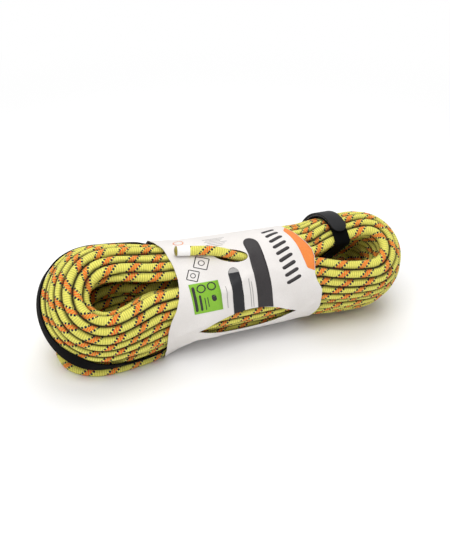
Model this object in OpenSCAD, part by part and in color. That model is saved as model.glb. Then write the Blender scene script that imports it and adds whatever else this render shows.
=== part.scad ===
// A rope hank as sold: a climbing rope wound in long turns, held by a printed
// card sleeve round its waist, a hook-and-loop strap and a flat webbing loop.

/* [Rope] */
// Diameter of the rope
rope_d = 9.7; // [8.5:0.1:10.5]
// Wall of the woven sheath
sheath_wall = 1.3; // [0.8:0.1:1.6]
// Strands of the core
core_strands = 7; // [5:1:9]
// Length of a white end marker
marker_len = 13; // [8:1:20]
// Wall of an end marker
marker_wall = 0.35; // [0.2:0.05:0.6]
// Length of the melted seal on a rope end
seal_len = 3; // [2:0.5:5]

/* [Hank] */
// Distance between the two turn centres
turn_span = 284; // [250:1:330]
// Turns in the outer layer
turns = 13; // [10:1:13]
// Half width of the eye at the left turn
left_eye_r = 15; // [14:0.5:20]
// Radius of the outermost turn at the left, at the middle of the rope
left_turn_r = 58.5; // [55:0.5:64]
// Half depth of the winding at the left turn
left_depth = 55; // [52:1:60]
// Half width of the eye at the right turn
right_eye_r = 16; // [15:0.5:20]
// Radius of the outermost turn at the right, at the middle of the rope
right_turn_r = 48.5; // [47:0.5:60]
// Half depth of the winding at the right turn
right_depth = 56; // [54:1:60]
// Half width of the waist at the sleeve's left edge, at the middle of the rope
waist_left_r = 48.5; // [46:0.5:52]
// Half width of the waist at the sleeve's right edge, at the middle of the rope
waist_right_r = 45; // [44:0.5:50]
// Half depth of the waist, at the middle of the rope
waist_depth = 52; // [50:1:56]
// Tilt of the winding axis above the horizontal
roll = 46; // [30:1:50]
// How far the soft turns flatten on the table
flattening = 2.5; // [1:0.5:3]

/* [Sleeve] */
// Left edge of the sleeve, from the middle of the hank
sleeve_left = -72; // [-80:1:-60]
// Right edge of the sleeve, from the middle of the hank
sleeve_right = 79; // [70:1:90]
// Thickness of the card
card_t = 0.5; // [0.3:0.1:1]
// Room between the turns and the card
card_gap = 0.6; // [0.4:0.1:1]
// Length of the lens-shaped window
window_len = 108; // [80:1:115]
// Height of the window
window_h = 34; // [20:1:40]
// Width of the square label
info_w = 30; // [20:1:34]
// Width of the dark length label
length_w = 12; // [8:1:20]
// Thickness of a label
label_t = 0.2; // [0.1:0.05:0.4]

/* [Strap] */
// Width of the strap
strap_w = 17; // [14:1:22]
// Thickness of the strap
strap_t = 1.6; // [1:0.1:2]
// Middle of the strap, from the middle of the hank
strap_x = 113; // [105:1:116]
// Thickness of the hook patch and of the loop patch
pile_t = 0.7; // [0.5:0.1:1]

/* [Webbing] */
// Width of the flat webbing round the left turn
webbing_w = 16; // [10:1:20]
// Thickness of the webbing
webbing_t = 1.6; // [1:0.1:2]
// Place of the webbing along the winding axis, from the left turn to the upper run
webbing_a = 11; // [6:1:24]
// Place of the webbing along the winding axis, on the lower run
webbing_low_a = 0; // [0:1:10]
// Room between the turns and the webbing
webbing_gap = 0.8; // [0.5:0.1:1]

/* [Hidden] */

lime = [0.79, 0.8, 0.3];
olive = [0.5, 0.5, 0.16];
white = [0.93, 0.92, 0.9];
black = [0.08, 0.08, 0.09];
charcoal = [0.2, 0.2, 0.21];
grey = [0.3, 0.3, 0.3];
green = [0.45, 0.72, 0.25];

// Frame of the hank: x runs along it, b across from the lower run to the upper run,
// and a along the winding axis, which leans up towards the front.
left_x = -turn_span / 2;
right_x = turn_span / 2;
waist_eye_r = 5;
flat_cut = rope_d / 10;
floor_z = rope_d / 2 - flat_cut;

function mix(p, q, w) = p + (q - p) * w;
function smooth(w) = let (t = min(1, max(0, w))) t * t * (3 - 2 * t);

// Half eye, outer radius and half depth of the winding: at the turns, and along the runs
left_size = [left_eye_r, left_turn_r, left_depth];
right_size = [right_eye_r, right_turn_r, right_depth];
function waist_size(x) =
    let (w = min(1, max(0, (x - sleeve_left) / (sleeve_right - sleeve_left))))
    [waist_eye_r, mix(waist_left_r, waist_right_r, w), waist_depth];
waist_play = 5;
waist_start = sleeve_left - waist_play;
waist_end = sleeve_right + waist_play;
left_eye_end = mix(left_x, waist_start, 0.5);
function left_flare(x) = smooth((waist_start - x) / (waist_start - left_x));
function left_eye(x) = smooth((left_eye_end - x) / (left_eye_end - left_x));
function right_flare(x) = smooth((x - waist_end) / (right_x - waist_end));
function run_size(x) =
    let (size = mix(mix(waist_size(x), left_size, left_flare(x)), right_size, right_flare(x)))
    x < waist_start ? [mix(waist_eye_r, left_eye_r, left_eye(x)), size[1], size[2]] : size;

// The middle of the hank's height, so that both turns rest on the table
function reach(size) =
    size[0] * cos(roll) + norm([(size[1] - size[0]) * cos(roll), size[2] * sin(roll)]);
left_h = reach(left_size) + floor_z - flattening;
right_h = reach(right_size) + floor_z - flattening;
function mid_h(x) = mix(left_h, right_h, (x - left_x) / turn_span);
// Puts the middle of the whole length over the origin
function webbing_r(size, a) = size[0] + (size[1] - size[0] + rope_d / 2 + webbing_gap)
    * sqrt(1 - pow(max(0, abs(a) - webbing_w / 2) / size[2], 2));
mid_shift = (webbing_r(left_size, webbing_a) + webbing_t - right_turn_r * cos(90 / 7) - rope_d / 2) / 2;
function place(x, b, a) =
    [x + mid_shift, b * sin(roll) - a * cos(roll), b * cos(roll) + a * sin(roll) + mid_h(x)];
function on_floor(p, low) = [p[0], p[1], max(p[2], low)];
axis_a = [0, -cos(roll), sin(roll)];

// Profile of the winding in half a section, by its share of the way round, even in arc length
profile_steps = 60;
profile_end = 87;
function profile_angle(k) = profile_end - 2 * profile_end * k / profile_steps;
function profile_at(size, angle, grow = 0) =
    [size[0] + (size[1] - size[0] + grow) * cos(angle), (size[2] + grow) * sin(angle)];
function arc_sum(list, k = 1, sum = 0) =
    k == len(list) ? [[sum, k - 1]]
    : concat([[sum, k - 1]], arc_sum(list, k + 1, sum + norm(list[k] - list[k - 1])));
function arc_table(size) = arc_sum([for (k = [0:profile_steps]) profile_at(size, profile_angle(k))]);
function share_angle(table, share) = profile_angle(lookup(share * table[profile_steps][0], table));

// One loop has 24 stations: 8 round the right turn, 4 along the lower run, 8 round the left turn
// and 4 along the upper run
run_stations = [strap_x, waist_end, waist_start, left_eye_end];
function station(k, share) =
    k < 8 ? turn_point(right_size, right_x, 1, 90 - 180 * k / 7, share)
    : k < 12 ? run_point(k - 8, -1, share)
    : k < 20 ? turn_point(left_size, left_x, -1, -90 + 180 * (k - 12) / 7, share)
    : run_point(23 - k, 1, share);
right_table = arc_table(right_size);
left_table = arc_table(left_size);
run_tables = [for (x = run_stations) arc_table(run_size(x))];
function turn_point(size, centre, side, angle, share) =
    let (p = profile_at(size, share_angle(side > 0 ? right_table : left_table, share)))
    place(centre + side * p[0] * cos(angle), p[0] * sin(angle), p[1]);
function run_point(s, side, share) =
    let (x = run_stations[s], p = profile_at(run_size(x), share_angle(run_tables[s], share)))
    place(x, side * p[0], p[1]);
// Each climb to the next turn is along the lower run
function climb(k) = min(1, max(0, (k - 7) / 5));
// The rope starts and ends on the upper run, under the sleeve
function step_point(i) =
    let (n = floor(i / 24), k = i - 24 * n)
    on_floor(station(k, (max(0, n) + (n < 0 ? 0 : climb(k))) / turns), floor_z);
first_step = -3;
last_step = 24 * turns - 2;
turn_line = [for (i = [first_step:last_step]) step_point(i)];
last_line = len(turn_line) - 1;
function unit(v) = v / norm(v);
lead_in = turn_line[0] + unit(turn_line[0] - turn_line[1]) * rope_d;
lead_out = turn_line[last_line] + unit(turn_line[last_line] - turn_line[last_line - 1]) * rope_d;
rope_line = concat([lead_in], turn_line, [lead_out]);

// Least gap of the winding to itself, from each point to the pieces of line one loop or more away
function to_piece(p, q, r) =
    let (t = min(1, max(0, ((p - q) * (r - q)) / ((r - q) * (r - q))))) norm(p - mix(q, r, t));
turn_gap = min([for (i = [0:len(rope_line) - 1], n = [1:turns], k = [-3:2])
    let (j = i + 24 * n + k)
    if (j + 1 < len(rope_line)) to_piece(rope_line[i], rope_line[j], rope_line[j + 1])]) - rope_d;
echo(least_gap_of_turns = turn_gap);

// A tube or bar swept along a line of points: section points are offsets across and along the up vector
function heading(line, i) =
    unit(line[min(len(line) - 1, i + 1)] - line[max(0, i - 1)]);
function ring(line, i, section, up) =
    let (t = heading(line, i), s = unit(cross(t, up)), n = cross(s, t))
    [for (q = section) line[i] + s * q[0] + n * q[1]];
function round_section(r, sides) =
    [for (k = [0:sides - 1]) r * [cos(360 * k / sides), sin(360 * k / sides)]];
module loft(rings, closed = false) {
    m = len(rings[0]);
    n = len(rings);
    last = closed ? n - 1 : n - 2;
    sides = [for (i = [0:last], k = [0:m - 1], half = [0, 1])
        let (i2 = (i + 1) % n, k2 = (k + 1) % m)
        half == 0 ? [i * m + k, i * m + k2, i2 * m + k2] : [i * m + k, i2 * m + k2, i2 * m + k]];
    caps = closed ? [] : [for (k = [1:m - 2], end = [0, 1])
        end == 0 ? [0, k + 1, k] : [(n - 1) * m, (n - 1) * m + k, (n - 1) * m + k + 1]];
    polyhedron([for (r = rings, p = r) p], concat(sides, caps));
}
module sweep(line, section, up) loft([for (i = [0:len(line) - 1]) ring(line, i, section, up)]);
module above_table() difference() {
    children();
    translate([-turn_span, -turn_span, -rope_d * 4]) cube([2 * turn_span, 2 * turn_span, rope_d * 4]);
}

module rope_turns() color(lime) above_table() sweep(rope_line, round_section(rope_d / 2, 6), axis_a);

// The inner turns as one plain core, a clearance inside the outer layer
core_gap = 0.4;
core_inset = rope_d / 2 + core_gap;
core_points = 12;
function core_profile(size) = [for (j = [0:core_points])
    profile_at(size, 90 - 180 * j / core_points, -core_inset)];
function core_ring(k) =
    let (x = k < 8 ? right_x : k < 12 ? run_stations[k - 8] : k < 20 ? left_x : run_stations[23 - k],
        size = k < 8 ? right_size : k >= 12 && k < 20 ? left_size : run_size(x),
        turn = k < 8 ? 90 - 180 * k / 7 : k < 12 ? -90 : k < 20 ? -90 - 180 * (k - 12) / 7 : 90)
    [for (p = core_profile(size))
        on_floor(place(x + p[0] * cos(turn), p[0] * sin(turn), p[1]), floor_z + core_inset)];
module inner_turns() color(olive) loft([for (k = [23:-1:0]) core_ring(k)], true);

// The card sleeve: an oval tube round the waist, by the angle from the upper run towards the front
sleeve_in = rope_d / 2 + card_gap;
sleeve_out = sleeve_in + card_t;
function oval(x, angle, grow) =
    let (size = waist_size(x), side = cos(angle) < 0 ? -1 : 1)
    place(x, side * size[0] + (size[1] - size[0] + grow) * cos(angle), (size[2] + grow) * sin(angle));
module patch(x0, x1, from, to, inner, outer, steps) loft([for (j = [0:steps])
    let (angle = mix(from, to, j / steps))
    [oval(x0, angle, inner), oval(x1, angle, inner), oval(x1, angle, outer), oval(x0, angle, outer)]]);
module tube_of_card(sides) loft([for (j = [0:sides - 1])
    let (angle = 360 * (j + 0.5) / sides, x0 = sleeve_left, x1 = sleeve_right)
    [oval(x0, angle, sleeve_in), oval(x1, angle, sleeve_in), oval(x1, angle, sleeve_out),
        oval(x0, angle, sleeve_out)]], true);
// Stands a shape on the oval at a place, its Z outwards and its X along the hank
module on_oval(x, angle) translate(oval(x, angle, 0)) rotate([90 - roll, 0, 0]) rotate([90, 0, 90])
    rotate([0, 0, angle]) rotate([180, 0, 0]) rotate([0, 90, 0]) children();
lens_steps = 12;
module lens(length, height, depth) translate([0, 0, -depth / 2]) linear_extrude(depth)
    polygon([for (side = [-1, 1], j = [0:lens_steps - 1])
        let (t = side * (2 * j / lens_steps - 1)) [t * length / 2, side * (1 - t * t) * height / 2]]);
window_x = 1;
window_angle = 152;
slot_x = 2;
slot_angle = 81;
slot_len = 34;
slot_w = rope_d + 6;
slot_turn = 18;
module slot_cut() rotate([0, 0, slot_turn]) lens(slot_len, slot_w, 4 * rope_d);
module sleeve_card() color(white) difference() {
    tube_of_card(64);
    on_oval(window_x, window_angle) lens(window_len, window_h, 4 * rope_d);
    on_oval(slot_x, slot_angle) slot_cut();
}
label_gap = 0.08;
info_x = -44;
length_x = -11;
label_in = sleeve_out + label_gap;
label_steps = 10;
module label(x, width, from, to) patch(x - width / 2, x + width / 2, from, to, label_in,
    label_in + label_t, label_steps);
module length_label() color(charcoal) label(length_x, length_w, 91, 134);
module info_label() color(green) label(info_x, info_w, 91, 128);

// The loose end on the sleeve: x, b and a of points along it, from the sealed tip to the slot
tail_route = [[-63, 29.9, 57.4], [-48, 27.4, 58.6], [-36, 25.4, 59.2], [-24, 22.7, 60.4], [-13, 18.3, 61.8],
    [-4, 14.8, 62.4], [2, 12.6, 62.4], [8, 10.8, 62]];
// The other end, lying round the foot of the left turn: x and y of points on the table, from its
// sealed tip behind the hank to the sleeve
end_route = [[-140, 46], [-156, 44], [-170, 38], [-181, 28], [-187, 14], [-187, 0], [-183, -15], [-173, -27],
    [-159, -34.8], [-143, -37], [-128, -36], [-113, -33.5], [-98, -30.5]];
marker_gap = 0.05;
tail_line = [for (p = tail_route) place(p[0], p[1], p[2])];
end_line = [for (p = end_route) [p[0] + mid_shift, p[1], rope_d / 2 + marker_gap + marker_wall]];
sheath_bore = rope_d / 2 - sheath_wall;
// One strand lies in the middle, with the others in a ring that just fits the bore
route_sides = 12;
strand_gap = 0.06;
strand_room = sheath_bore * cos(180 / route_sides) - strand_gap;
strand_sine = sin(180 / (core_strands - 1));
strand_d = 2 * strand_room * strand_sine / (1 + strand_sine);
strand_ring = strand_room - strand_d / 2;
middle_d = min(strand_d, 2 * strand_ring - strand_d);
module sheath(line) {
    difference() {
        sweep(line, round_section(rope_d / 2, route_sides), axis_a);
        sweep(stretched(line), round_section(sheath_bore, route_sides), axis_a);
    }
}
function stretched(line) =
    let (n = len(line) - 1)
    [for (i = [0:n]) i == 0 ? line[0] - heading(line, 0) : i == n ? line[n] + heading(line, n) : line[i]];
module core_bundle(line) {
    for (k = [0:core_strands - 1]) {
        middle = k == core_strands - 1;
        angle = 360 * k / (core_strands - 1);
        at = middle ? [0, 0] : strand_ring * [cos(angle), sin(angle)];
        shifted = [for (i = [0:len(line) - 1]) ring(line, i, [at], axis_a)[0]];
        sweep(shifted, round_section((middle ? middle_d : strand_d) / 2 - strand_gap, 8), axis_a);
    }
}
// Turns a shape made along Z to stand on the first point of a route, heading along it
module at_tip(line) {
    h = unit(line[1] - line[0]);
    translate(line[0]) rotate([0, acos(h[2]), atan2(h[1], h[0])]) children();
}
module marker_band(line) at_tip(line) difference() {
    cylinder(d = rope_d + 2 * marker_wall, h = marker_len, $fn = 64);
    translate([0, 0, -1]) cylinder(d = rope_d + 2 * marker_gap, h = marker_len + 2, $fn = 64);
}
module seal(line) at_tip(line) intersection() {
    translate([0, 0, -seal_len]) cylinder(d = rope_d, h = seal_len, $fn = 64);
    translate([0, 0, rope_d - seal_len]) sphere(rope_d, $fn = 64);
}
module tail_sheath() color(lime) sheath(tail_line);
module tail_core() color(white) core_bundle(tail_line);
module tail_marker() color(white) marker_band(tail_line);
module tail_seal() color(olive) seal(tail_line);
module end_sheath() color(lime) sheath(end_line);
module end_core() color(white) core_bundle(end_line);
module end_marker() color(white) marker_band(end_line);
module end_seal() color(olive) seal(end_line);

// The strap round the upper run, through the right eye
strap_clear = 0.35;
strap_in = rope_d / 2 + strap_clear;
strap_size = run_size(strap_x + strap_w / 2);
strap_eye = run_size(strap_x - strap_w / 2);
eye_wall = profile_at(strap_eye, profile_end)[0] - rope_d / 2 - strap_clear;
// Every layer of the strap bends at the same angles, so that they lie face to face
bend_step = 7.5;
function strap_arc(grow, from, to) =
    let (steps = abs(to - from) / bend_step)
    [for (j = [0:steps]) profile_at(strap_size, mix(from, to, j / steps), grow)];
function strap_outline(grow) =
    let (wall = eye_wall - (grow - strap_in), depth = strap_size[2] + grow)
    concat(strap_arc(grow, 90, -90), [[wall, -depth], [wall, depth]]);
module on_strap(width) translate([strap_x + mid_shift, 0, mid_h(strap_x)]) rotate([90 - roll, 0, 0])
    rotate([90, 0, 90]) translate([0, 0, -width / 2]) linear_extrude(width) children();
module strip(from, to, inner, outer)
    polygon(concat(strap_arc(inner, from, to), strap_arc(outer, to, from)));
tab_root = -30;
tab_tip = 82.5;
pile_from = -7.5;
pile_to = 67.5;
loop_out = strap_in + strap_t + pile_t;
hook_in = loop_out + strap_clear;
tab_in = hook_in + pile_t;
tab_out = tab_in + strap_t;
module strap_band() color(black) on_strap(strap_w) difference() {
    polygon(strap_outline(strap_in + strap_t));
    polygon(strap_outline(strap_in));
}
module strap_loops() color(charcoal) on_strap(strap_w - 2)
    strip(pile_from, pile_to, strap_in + strap_t, loop_out);
tip_at = profile_at(strap_size, tab_tip, tab_in);
// Rounds the free end of the tab in plan
module tab_plan() translate([strap_x + mid_shift, 0, mid_h(strap_x)]) rotate([90 - roll, 0, 0])
    rotate([90, 0, 90]) translate([tip_at[0], tip_at[1], 0]) rotate([0, 0, tab_tip]) rotate([0, 90, 0]) {
    translate([0, -strap_w / 2, -3 * strap_w]) cylinder(d = strap_w, h = 4 * strap_w, $fn = 64);
    translate([-strap_w / 2, -8 * strap_w, -7 * strap_w]) cube([strap_w, 7.5 * strap_w, 8 * strap_w]);
}
module strap_tab() color(charcoal) intersection() {
    on_strap(strap_w) strip(tab_root, tab_tip, tab_in, tab_out);
    tab_plan();
}
module strap_hooks() color(black) on_strap(strap_w - 2)
    strip(pile_from, pile_to, hook_in, tab_in);
// Rows of thread behind the tab, each lying on one flat of the band
stitch_rows = 3;
stitch_t = 0.4;
stitch_w = 1;
stitch_margin = 2;
module strap_stitching() color(grey) for (row = [0:stitch_rows - 1]) {
    from = profile_at(strap_size, tab_root - bend_step * (row + 1), strap_in + strap_t);
    to = profile_at(strap_size, tab_root - bend_step * (row + 2), strap_in + strap_t);
    on_strap(strap_w - 2 * stitch_margin) translate((from + to) / 2)
        rotate([0, 0, atan2(to[1] - from[1], to[0] - from[0])]) translate([-stitch_w / 2, 0])
        square([stitch_w, stitch_t]);
}

// The flat webbing round the left turn, from the sleeve's edge back to it
sleeve_travel = 3;
webbing_end = sleeve_left - sleeve_travel - 1;
webbing_turns = 12;
// It bends along the runs where the rope does, so that it lies on the turns
webbing_stops = [webbing_end, left_eye_end];
function webbing_run(side, x, a) =
    place(x, side * (webbing_r(run_size(x), a) + webbing_t / 2), a);
webbing_line = concat(
    [for (x = webbing_stops) webbing_run(-1, x, webbing_low_a)],
    [for (j = [0:webbing_turns])
        let (turn = -90 - 180 * j / webbing_turns, a = mix(webbing_low_a, webbing_a, smooth(2 * j / webbing_turns)),
            r = webbing_r(left_size, a) + webbing_t / 2)
        place(left_x + r * cos(turn), r * sin(turn), a)],
    [for (k = [len(webbing_stops) - 1:-1:0]) webbing_run(1, webbing_stops[k], webbing_a)]);
webbing_section = [[-1, -1], [1, -1], [1, 1], [-1, 1]];
module carry_webbing() color(black) sweep(webbing_line,
    [for (q = webbing_section) [q[0] * webbing_t / 2, q[1] * webbing_w / 2]], axis_a);

rope_turns();
inner_turns();
tail_sheath();
tail_core();
tail_marker();
tail_seal();
end_sheath();
end_core();
end_marker();
end_seal();
sleeve_card();
length_label();
info_label();
strap_band();
strap_loops();
strap_tab();
strap_hooks();
strap_stitching();
carry_webbing();
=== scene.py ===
"""A new climbing rope as it is sold: one rope wound in a long hank, with a card sleeve, a
hook-and-loop strap and a flat webbing loop. Sizes are in millimetres until a mesh is made."""
import math

import bmesh
import bpy
import numpy as np
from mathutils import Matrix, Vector
from mathutils.kdtree import KDTree


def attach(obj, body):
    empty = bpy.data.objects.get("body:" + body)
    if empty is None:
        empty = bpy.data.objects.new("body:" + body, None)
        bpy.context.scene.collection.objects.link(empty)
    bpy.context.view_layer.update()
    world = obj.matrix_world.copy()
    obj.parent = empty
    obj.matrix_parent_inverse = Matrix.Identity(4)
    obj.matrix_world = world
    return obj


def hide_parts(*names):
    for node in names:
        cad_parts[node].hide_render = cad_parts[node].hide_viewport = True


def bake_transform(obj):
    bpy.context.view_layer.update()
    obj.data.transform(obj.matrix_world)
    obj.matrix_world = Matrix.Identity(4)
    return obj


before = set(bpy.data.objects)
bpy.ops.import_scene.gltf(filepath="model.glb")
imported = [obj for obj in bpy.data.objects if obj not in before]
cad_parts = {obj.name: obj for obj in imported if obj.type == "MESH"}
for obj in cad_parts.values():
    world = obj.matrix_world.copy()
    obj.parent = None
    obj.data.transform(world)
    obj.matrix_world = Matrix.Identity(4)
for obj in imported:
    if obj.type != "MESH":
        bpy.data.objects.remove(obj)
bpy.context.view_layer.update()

MM = 0.001

# The photograph's camera: its place round the hank, its lens in pixels, and the middle of the picture
CAMERA_AZIMUTH, CAMERA_HEIGHT, CAMERA_DISTANCE = -18.98, 33.43, 944.7
CAMERA_FOCUS, PICTURE, PICTURE_MIDDLE = 875.9, (450, 550), (224.6, 283.5)
AIM, SENSOR_W = Vector((0.75, 0, 60)), 36


def add_object(name, data):
    thing = bpy.data.objects.new(name, data)
    bpy.context.scene.collection.objects.link(thing)
    return thing


def add_camera():
    data = bpy.data.cameras.new("camera")
    camera = add_object("camera", data)
    turn, rise = math.radians(CAMERA_AZIMUTH), math.radians(CAMERA_HEIGHT)
    away = Vector((math.sin(turn) * math.cos(rise), -math.cos(turn) * math.cos(rise), math.sin(rise)))
    camera.location = (AIM + away * CAMERA_DISTANCE) * MM
    camera.rotation_euler = (-away).to_track_quat("-Z", "Y").to_euler()
    data.sensor_width = SENSOR_W
    data.lens = CAMERA_FOCUS * SENSOR_W / PICTURE[1]
    data.shift_x = (PICTURE[0] / 2 - PICTURE_MIDDLE[0]) / PICTURE[1]
    data.shift_y = (PICTURE_MIDDLE[1] - PICTURE[1] / 2) / PICTURE[1]
    data.clip_start, data.clip_end = 0.01, 50
    bpy.context.scene.camera = camera


add_camera()

# Sizes of the hank, as in the part's source: half eye, outer radius and half depth of its two turns and its waist
ROPE_D = 9.7
TURN_SPAN = 284.0
LEFT_X, RIGHT_X = -TURN_SPAN / 2, TURN_SPAN / 2
LEFT_SIZE, RIGHT_SIZE = np.array([15.0, 58.5, 55.0]), np.array([16.0, 48.5, 56.0])
WAIST_EYE, WAIST_LEFT, WAIST_RIGHT, WAIST_DEPTH = 5.0, 48.5, 45.0, 52.0
ROLL_C, ROLL_S = math.cos(math.radians(46)), math.sin(math.radians(46))
SLEEVE_LEFT, SLEEVE_RIGHT = -72.0, 79.0
WAIST_START, WAIST_END = SLEEVE_LEFT - 5, SLEEVE_RIGHT + 5
EYE_POINT = -96.0
FLOOR_Z, FLATTENING = ROPE_D / 2 - ROPE_D / 10, 2.5
WEBBING_W, WEBBING_T, WEBBING_A, WEBBING_LOW_A, WEBBING_GAP = 16.0, 1.6, 11.0, 0.0, 0.8
CARD_T, CARD_GAP = 0.5, 0.6
STRAP_W, STRAP_T, STRAP_X, PILE_T, STRAP_CLEAR = 17.0, 1.6, 113.0, 0.7, 0.35
# The eyes are drawn a little wider here, so that the innermost turns bend less tightly
LEFT_TURN, RIGHT_TURN = np.array([18.0, 58.5, 55.0]), np.array([18.5, 48.5, 56.0])
# Where a half section of the winding ends, in degrees from its outermost point
SECTION_END = 87


def reach(size):
    return size[0] * ROLL_C + math.hypot((size[1] - size[0]) * ROLL_C, size[2] * ROLL_S)


def webbing_r(size):
    lean = max(0, abs(WEBBING_A) - WEBBING_W / 2) / size[2]
    return size[0] + (size[1] - size[0] + ROPE_D / 2 + WEBBING_GAP) * math.sqrt(1 - lean * lean)


LEFT_H, RIGHT_H = (reach(size) + FLOOR_Z - FLATTENING for size in (LEFT_SIZE, RIGHT_SIZE))
RIGHT_REACH = RIGHT_SIZE[1] * math.cos(math.radians(90 / 7)) + ROPE_D / 2
MID_SHIFT = (webbing_r(LEFT_SIZE) + WEBBING_T - RIGHT_REACH) / 2


def mid_h(x):
    return LEFT_H + (RIGHT_H - LEFT_H) * (x - LEFT_X) / TURN_SPAN


def place(points):
    """From the hank's own frame (along, across to the upper run, along the winding axis) to the model's."""
    x, b, a = np.asarray(points, float).reshape(-1, 3).T
    return np.stack([x + MID_SHIFT, b * ROLL_S - a * ROLL_C, b * ROLL_C + a * ROLL_S + mid_h(x)], 1)


def unplace(points):
    x, y, z = np.asarray(points, float).reshape(-1, 3).T
    x = x - MID_SHIFT
    z = z - mid_h(x)
    return np.stack([x, y * ROLL_S + z * ROLL_C, z * ROLL_S - y * ROLL_C], 1)


def smooth(w):
    w = np.clip(w, 0, 1)
    return w * w * (3 - 2 * w)


def arch(w):
    w = np.clip(w, 0, 1)
    return w * (2 - w)


def hump(away, wide, power=2):
    return np.exp(-(away / wide) ** power)


def unit(vectors):
    return vectors / np.linalg.norm(vectors, axis=-1, keepdims=True)


def run_length(line):
    """How far along a line each of its points is."""
    return np.concatenate([[0], np.cumsum(np.linalg.norm(np.diff(line, axis=0), axis=1))])


def points_at(at, along, line):
    return np.stack([np.interp(at, along, column) for column in line.T], 1)


def closed_ring(points):
    return np.concatenate([points, points[:1]])


def eased_steps(count):
    """Shares from 0 to 1, closer together near both ends."""
    return (1 - np.cos(np.linspace(0, math.pi, count))) / 2


def rounded(share, least):
    """The half width of a round end, by the share of its radius from the tip."""
    return np.sqrt(1 - (1 - np.clip(share, least, 1)) ** 2)


def run_size(x, left=LEFT_TURN, right=RIGHT_TURN):
    """Half eye, outer radius and half depth of the winding along the runs."""
    x = np.asarray(x, float)
    w = np.clip((x - SLEEVE_LEFT) / (SLEEVE_RIGHT - SLEEVE_LEFT), 0, 1)
    size = np.stack([np.full_like(x, WAIST_EYE), WAIST_LEFT + (WAIST_RIGHT - WAIST_LEFT) * w,
                     np.full_like(x, WAIST_DEPTH)], -1)
    size = size + (left - size) * arch((WAIST_START - x) / (WAIST_START - LEFT_X))[..., None]
    size = size + (right - size) * arch((x - WAIST_END) / (RIGHT_X - WAIST_END))[..., None]
    w = (EYE_POINT - x) / (EYE_POINT - LEFT_X)
    eye = WAIST_EYE + (left[0] - WAIST_EYE) * (arch(w) + smooth(w)) / 2
    size[..., 0] = np.where(x < WAIST_START, eye, size[..., 0])
    return size


# The rope's route: layers of turns from the outside in, each wound back over the other's way
LAYERS, LAYER_PITCH = (16, 10, 6, 4), 9.1
TURN_STEPS, RUN_STEPS, MEAN_STEP = 16, 29, 8.4
RIGHT_END, LOWER_RUN, LEFT_END, UPPER_RUN = range(4)
# The first stretch, from under the sleeve to the right turn
RUN_LEAD, LEAD_STEP = 85.0, 9.5
# The strands wander sideways (in shares of a turn) and inwards; those below the outer layer less
SIDE_WANDER, SIDE_WAVES, DEPTH_WANDER, DEPTH_WAVES, TIGHT = 0.26, (190, 330, 610), 1.6, (150, 270, 480), 0.6
# The left eye's middle drops at the back of the hank, and drags the strands near it along
EYE_DROP, DROP_A, DROP_OVER, DROP_X, DROP_ALONG, DROP_REACH = 15.0, 10, 50, -84, 46, 14
# The upper run's twist: its lead before the left turn ends, its length, and where it is undone
UPPER_TWIST, TWIST_LEAD, TWIST_OVER, UNTWIST_X, UNTWIST_OVER = math.radians(36), 45, 95, -76, 110
# The left turn's mean radius, and how softly the strands are kept out of the eyes
LEFT_MEAN_R, EYE_EASE = 38, 6.0
TAIL_ROUTE = [(-63, 29.9, 57.4), (-58, 29.07, 57.8), (-53, 28.23, 58.2), (-48, 27.4, 58.6), (-36, 25.4, 59.4),
              (-28, 23.6, 59.8), (-20, 21.3, 59.2), (-13, 19, 57.2), (-7, 17, 54.7), (-1, 15, 52.4)]
# Under the sleeve the tail sinks into the front of the first turn, and the end comes out of the last
TAIL_UNDER = [(6, 12.9, 51), (16, 10.6, 50.8), (28, 8.8, 51.3), (40, 7.8, 51.8), (52, 7.3, 52), (64, 7.2, 52),
              (76, 7.2, 52)]
END_UNDER = [(76, -8, 21), (64, -10.5, 17.5), (50, -14, 12.5), (34, -19, 6), (18, -24.5, -0.5), (2, -30, -6.5),
             (-14, -35.5, -11), (-30, -40.5, -14.5), (-46, -44.5, -17), (-60, -47.5, -18.5), (-70, -50, -19),
             (-80, -54, -19.3), (-89, -58, -19.3)]
END_ROUTE = [(-98, -30.5), (-113, -33.5), (-128, -36), (-143, -37), (-159, -34.8), (-173, -27), (-183, -15),
             (-187, 0), (-187, 14), (-181, 28), (-170, 38), (-156, 44), (-150.7, 44.67), (-145.3, 45.33), (-140, 46)]
# How high the end lies, and how many points before its route stay as chosen
END_Z, END_LEAD = ROPE_D / 2 + 0.4, 5


def wander(along, seed, waves):
    """A slow, even wander along the rope: sums of a few sines with fixed phases, about -1 to 1."""
    chance = np.random.default_rng(seed)
    total = np.zeros_like(along)
    for wave in waves:
        total += np.sin(2 * math.pi * along / wave + chance.uniform(0, 2 * math.pi))
    return total / math.sqrt(len(waves))


def profile_points(size, inset, share):
    """Points of the winding's half section, by the share of its arc length from the front of the eye to the back."""
    angles = np.radians(np.linspace(SECTION_END, -SECTION_END, 61))
    half_w = np.maximum(size[:, 1] - size[:, 0] - inset, 0.5)
    p = size[:, 0:1] + half_w[:, None] * np.cos(angles)
    a = (size[:, 2] - inset)[:, None] * np.sin(angles)
    arc = np.concatenate([np.zeros((len(p), 1)), np.cumsum(np.hypot(np.diff(p), np.diff(a)), 1)], 1)
    at = np.clip(share, 0, 1) * arc[:, -1]
    return np.array([(np.interp(t, row, pr), np.interp(t, row, ar)) for t, row, pr, ar in zip(at, arc, p, a)])


def eye_middle(x, a):
    """Where the middle of the left eye lies: lower at the back, so that it can't be seen through."""
    return -EYE_DROP * smooth((DROP_A - a) / DROP_OVER) * smooth((DROP_X - x) / DROP_ALONG)


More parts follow.
